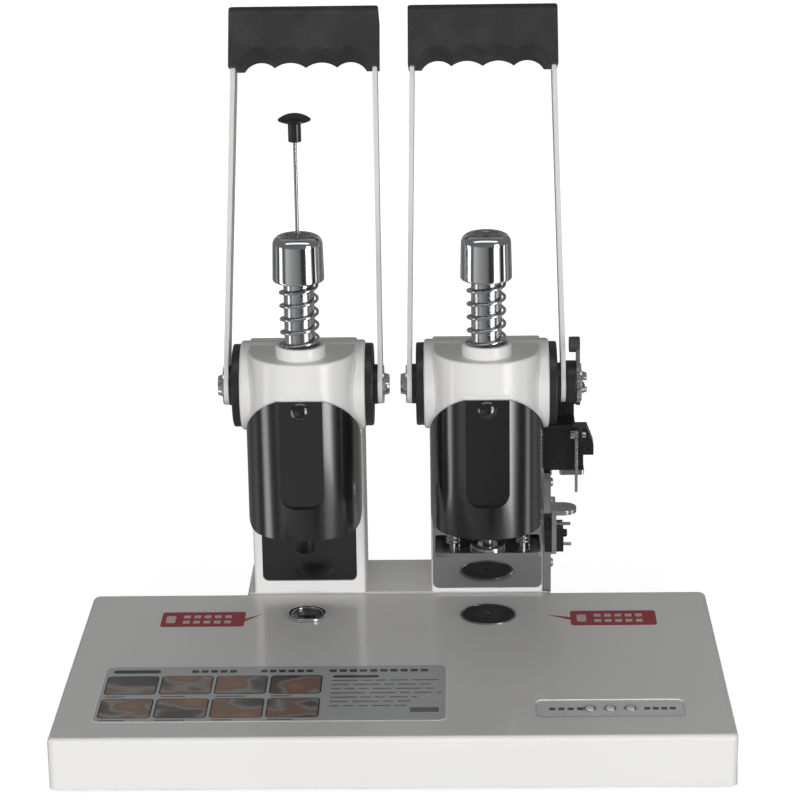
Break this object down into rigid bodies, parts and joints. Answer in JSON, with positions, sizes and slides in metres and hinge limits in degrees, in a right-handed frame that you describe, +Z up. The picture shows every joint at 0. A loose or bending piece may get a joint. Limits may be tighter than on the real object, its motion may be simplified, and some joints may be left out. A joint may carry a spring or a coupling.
{
  "type": "document riveting machine",
  "caption": "Desk machine that punches and hot-rivets document stacks: wide tray base, twin press heads, each with a swinging lever, rack plunger and return spring.",
  "frame": {"origin": "on the table, under the middle of the overall box", "axes": "+X to the operator's right, +Y away from the operator, +Z up"},
  "size_m": [0.4, 0.3494, 0.4059],
  "materials": {
    "white_paint": "gloss",
    "grey_paint": "gloss",
    "black_gloss": "gloss",
    "black_matte": "matte, lightly textured",
    "chrome": "mirror",
    "steel": "satin",
    "dark_steel": "oiled",
    "rubber": "matte",
    "lamp": "clear"
  },
  "bodies": {
    "machine": {"base_shell": "white_paint", "rear_deck": "grey_paint", "bottom_plates": "grey_paint", "feet": "rubber", "status_lamps": "lamp", "left_column": "white_paint", "left_column_panel": "black_gloss", "right_column": "white_paint", "right_mirror_plate": "chrome", "side_plate": "steel", "side_screws": "steel", "left_head_casting": "white_paint", "right_head_casting": "white_paint", "left_cover": "black_gloss", "right_cover": "black_gloss", "cover_buttons": "black_gloss", "end_caps": "black_matte", "left_spring": "chrome", "right_spring": "chrome", "left_die_ring": "chrome", "left_anvil": "dark_steel", "right_pad_ring": "chrome", "right_cutting_pad": "rubber", "latch_plate": "chrome", "switch_housing": "black_matte", "blade_pin": "chrome", "switch_bracket": "steel", "microswitch": "black_matte", "switch_terminals": "chrome"},
    "left_lever": {"left_lever_strap": "white_paint", "left_grip": "black_matte", "left_shaft": "steel", "left_pinion": "dark_steel", "left_hubs": "black_matte", "left_pivot_bolts": "chrome"},
    "right_lever": {"right_lever_strap": "white_paint", "right_grip": "black_matte", "right_shaft": "steel", "right_pinion": "dark_steel", "right_hubs": "black_matte", "right_pivot_bolts": "chrome", "trip_cam": "black_matte", "trip_plate": "chrome", "trip_knob": "black_matte"},
    "left_plunger": {"left_plunger": "chrome", "left_cap": "chrome", "left_nozzle": "chrome", "left_heater_tip": "dark_steel"},
    "right_plunger": {"right_plunger": "chrome", "right_cap": "chrome", "right_crosshead": "steel", "right_punch": "dark_steel", "right_guide_springs": "chrome"},
    "left_needle": {"left_needle": "chrome", "left_needle_knob": "black_gloss"},
    "press_plate": {"right_press_plate": "chrome", "right_guide_bush": "chrome", "right_guide_screws": "chrome"},
    "switch_blade": {"switch_blade": "steel"},
    "switch_button": {"switch_button": "chrome"}
  },
  "joints": [
    {"name": "left_lever_swing", "type": "hinge", "parent": "machine", "child": "left_lever", "pos_m": [-0.058, 0.04529, 0.1812], "axis": [1, 0, 0], "range_deg": [0, 101.76]},
    {"name": "right_lever_swing", "type": "hinge", "parent": "machine", "child": "right_lever", "pos_m": [0.058, 0.04529, 0.1812], "axis": [1, 0, 0], "range_deg": [0, 101.76]},
    {"name": "left_plunger_slide", "type": "slide", "parent": "machine", "child": "left_plunger", "axis": [0, 0, -1], "range_m": [0, 0.04], "stiffness_N_per_m": 600, "springref_m": -0.05, "deforming": ["left_spring"]},
    {"name": "right_plunger_slide", "type": "slide", "parent": "machine", "child": "right_plunger", "axis": [0, 0, -1], "range_m": [0, 0.04], "stiffness_N_per_m": 600, "springref_m": -0.05, "deforming": ["right_spring"]},
    {"name": "left_needle_push", "type": "slide", "parent": "left_plunger", "child": "left_needle", "axis": [0, 0, -1], "range_m": [0, 0.03]},
    {"name": "press_plate_slide", "type": "slide", "parent": "right_plunger", "child": "press_plate", "axis": [0, 0, 1], "range_m": [0, 0.008], "stiffness_N_per_m": 500, "springref_m": -0.01, "deforming": ["right_guide_springs"]},
    {"name": "switch_blade_swing", "type": "hinge", "parent": "machine", "child": "switch_blade", "pos_m": [0.1146, 0.04929, 0.1446], "axis": [1, 0, 0], "range_deg": [-30, 0], "stiffness_Nm_per_rad": 0.01},
    {"name": "switch_button_press", "type": "slide", "parent": "machine", "child": "switch_button", "axis": [-1, 0, 0], "range_m": [0, 0.0014], "stiffness_N_per_m": 300, "springref_m": -0.001}
  ],
  "couplings": [
    {"joint": "left_plunger_slide", "follows": "left_lever_swing", "m_per_rad": 0.0225},
    {"joint": "right_plunger_slide", "follows": "right_lever_swing", "m_per_rad": 0.0225}
  ]
}
